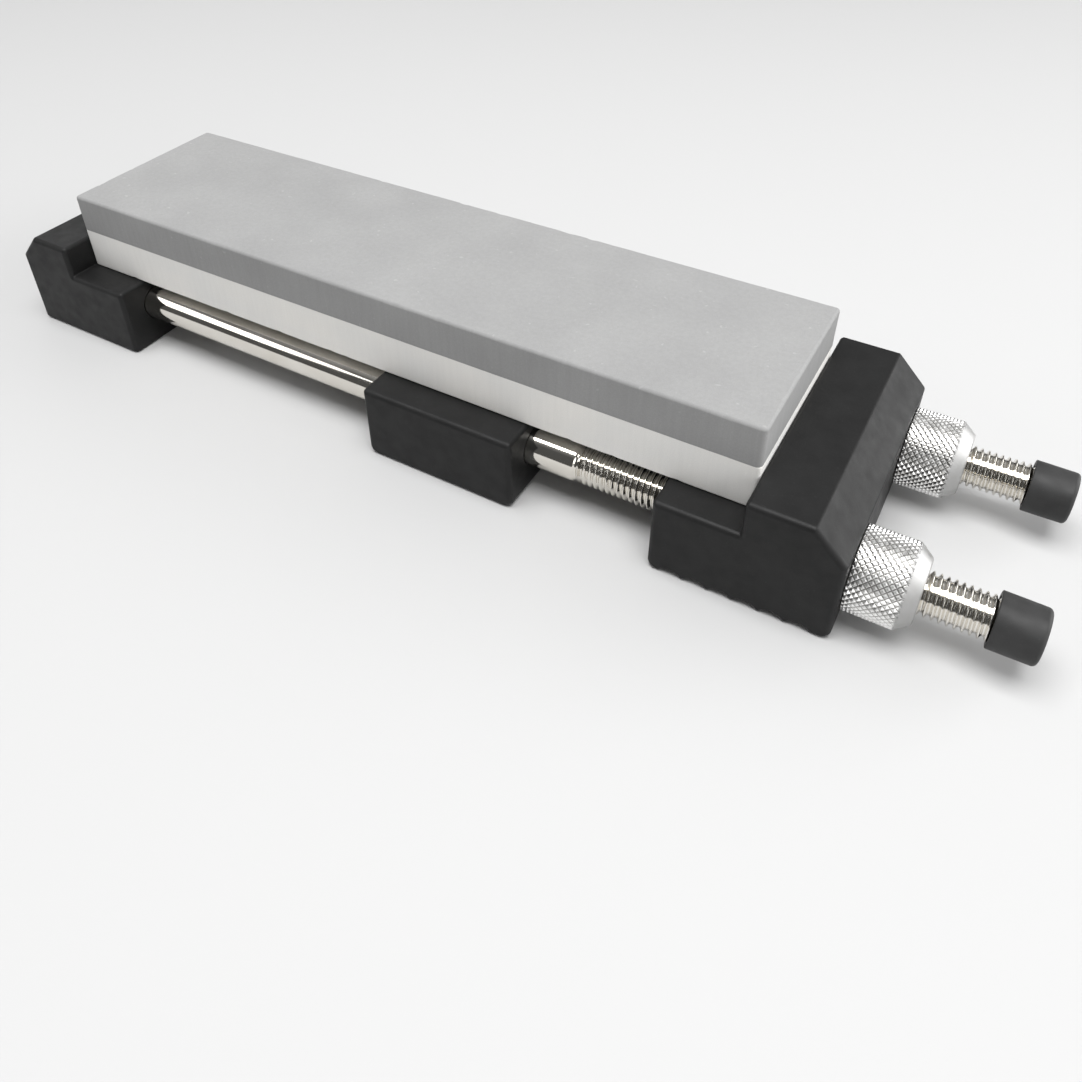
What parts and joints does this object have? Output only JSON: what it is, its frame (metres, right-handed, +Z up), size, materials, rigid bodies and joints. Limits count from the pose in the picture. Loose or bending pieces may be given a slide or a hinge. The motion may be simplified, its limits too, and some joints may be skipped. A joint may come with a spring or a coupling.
{
  "type": "sharpening stone holder",
  "caption": "Adjustable sharpening stone holder: rubber blocks on chrome rods, a sliding jaw pushed by knurled nuts, with a layered whetstone clamped in it.",
  "frame": {"origin": "middle of the overall length and width, on the plane that the blocks stand on", "axes": "+X along the rods from the fixed jaw towards the knurled nuts, +Y towards the far rod, +Z up"},
  "size_m": [0.2834, 0.068, 0.0424],
  "materials": {
    "rubber": "moulded satin black",
    "cap_rubber": "matt dark grey",
    "core": "moulded, glass filled",
    "chrome": "polished chrome plate",
    "nut_metal": "satin nickel plate, knurled",
    "steel": "zinc plated",
    "stone_grey": "fine abrasive, flat ground",
    "stone_white": "fine abrasive, flat ground"
  },
  "bodies": {
    "base": {"fixed_jaw_cover": "rubber", "fixed_jaw_core": "core", "rod_near": "chrome", "rod_far": "chrome", "rod_pin_near": "steel", "rod_pin_far": "steel", "end_cap_near": "cap_rubber", "end_cap_far": "cap_rubber"},
    "support": {"mid_support_cover": "rubber", "mid_support_core": "core"},
    "jaw": {"moving_jaw_cover": "rubber", "moving_jaw_core": "core", "thrust_washer_near": "steel", "thrust_washer_far": "steel"},
    "near_nut": {"nut_near": "nut_metal"},
    "far_nut": {"nut_far": "nut_metal"},
    "stone": {"stone_upper": "stone_grey", "stone_lower": "stone_white"}
  },
  "joints": [
    {"name": "support_slide", "type": "slide", "parent": "base", "child": "support", "axis": [1, 0, 0], "range_m": [-0.085, 0.0355]},
    {"name": "jaw_slide", "type": "slide", "parent": "base", "child": "jaw", "axis": [1, 0, 0], "range_m": [0, 0.0135]},
    {"name": "near_nut_spin", "type": "hinge", "parent": "jaw", "child": "near_nut", "pos_m": [0.11123, -0.0221, 0.0119], "axis": [1, 0, 0], "range_deg": [0, 3241]},
    {"name": "far_nut_spin", "type": "hinge", "parent": "jaw", "child": "far_nut", "pos_m": [0.11123, 0.0221, 0.0119], "axis": [1, 0, 0], "range_deg": [0, 3241]},
    {"name": "stone_lift", "type": "slide", "parent": "base", "child": "stone", "axis": [0, 0, 1], "range_m": [0, 0.05]}
  ],
  "couplings": [
    {"joint": "near_nut_spin", "follows": "jaw_slide", "rad_per_m": 4188.8},
    {"joint": "far_nut_spin", "follows": "jaw_slide", "rad_per_m": 4188.8}
  ]
}
